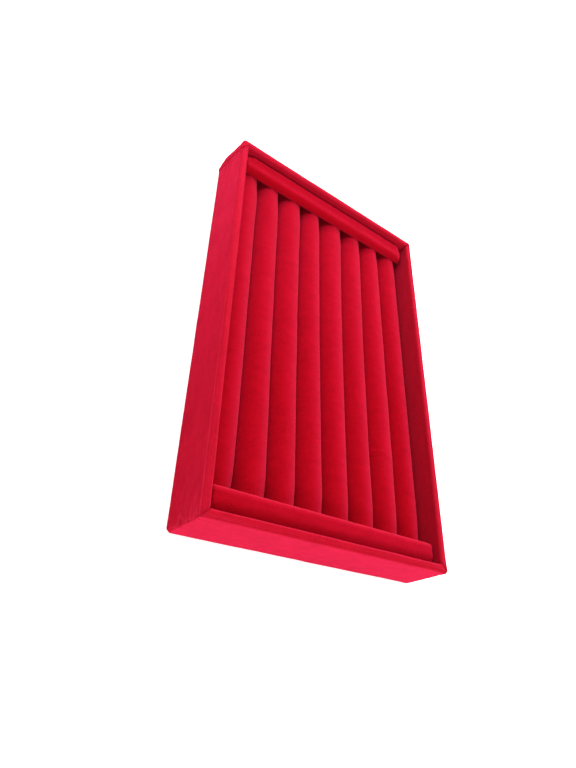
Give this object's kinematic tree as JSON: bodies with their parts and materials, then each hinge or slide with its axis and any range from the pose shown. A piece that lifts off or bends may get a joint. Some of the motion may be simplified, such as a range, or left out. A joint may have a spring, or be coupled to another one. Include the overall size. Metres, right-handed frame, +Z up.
{
  "type": "jewelry tray",
  "caption": "Open velvet-covered jewelry tray with a lift-out pad of padded ring rolls, held across each end by a velvet-covered bar.",
  "frame": {"origin": "on the table, under the middle of the tray", "axes": "+X across the rolls, +Y along them, +Z up from the table"},
  "size_m": [0.183, 0.3, 0.04],
  "materials": {
    "red_velvet": "short-pile velvet with a soft sheen",
    "flock_paper": "flocked paper, dull",
    "fibreboard": "raw medium-density fibreboard",
    "soft_wood": "planed softwood strip",
    "grey_card": "grey bookbinder's card",
    "white_foam": "closed-cell foam rod"
  },
  "bodies": {
    "tray": {"base_sheet": "flock_paper", "floor_board": "fibreboard", "floor_lining": "red_velvet", "wall_board_left": "fibreboard", "wall_board_right": "fibreboard", "wall_board_near": "fibreboard", "wall_board_far": "fibreboard", "velvet_strip_left": "red_velvet", "velvet_strip_right": "red_velvet", "velvet_strip_near": "red_velvet", "velvet_strip_far": "red_velvet"},
    "ring_pad": {"pad_card": "grey_card", "roll_foam_1": "white_foam", "roll_foam_2": "white_foam", "roll_foam_3": "white_foam", "roll_foam_4": "white_foam", "roll_foam_5": "white_foam", "roll_foam_6": "white_foam", "roll_foam_7": "white_foam", "roll_foam_8": "white_foam", "roll_cover_1": "red_velvet", "roll_cover_2": "red_velvet", "roll_cover_3": "red_velvet", "roll_cover_4": "red_velvet", "roll_cover_5": "red_velvet", "roll_cover_6": "red_velvet", "roll_cover_7": "red_velvet", "roll_cover_8": "red_velvet", "bar_core_near": "soft_wood", "bar_core_far": "soft_wood", "bar_cover_near": "red_velvet", "bar_cover_far": "red_velvet"}
  },
  "joints": [
    {"name": "ring_pad_lift", "type": "slide", "parent": "tray", "child": "ring_pad", "axis": [0, 0, 1], "range_m": [0, 0.045]}
  ]
}
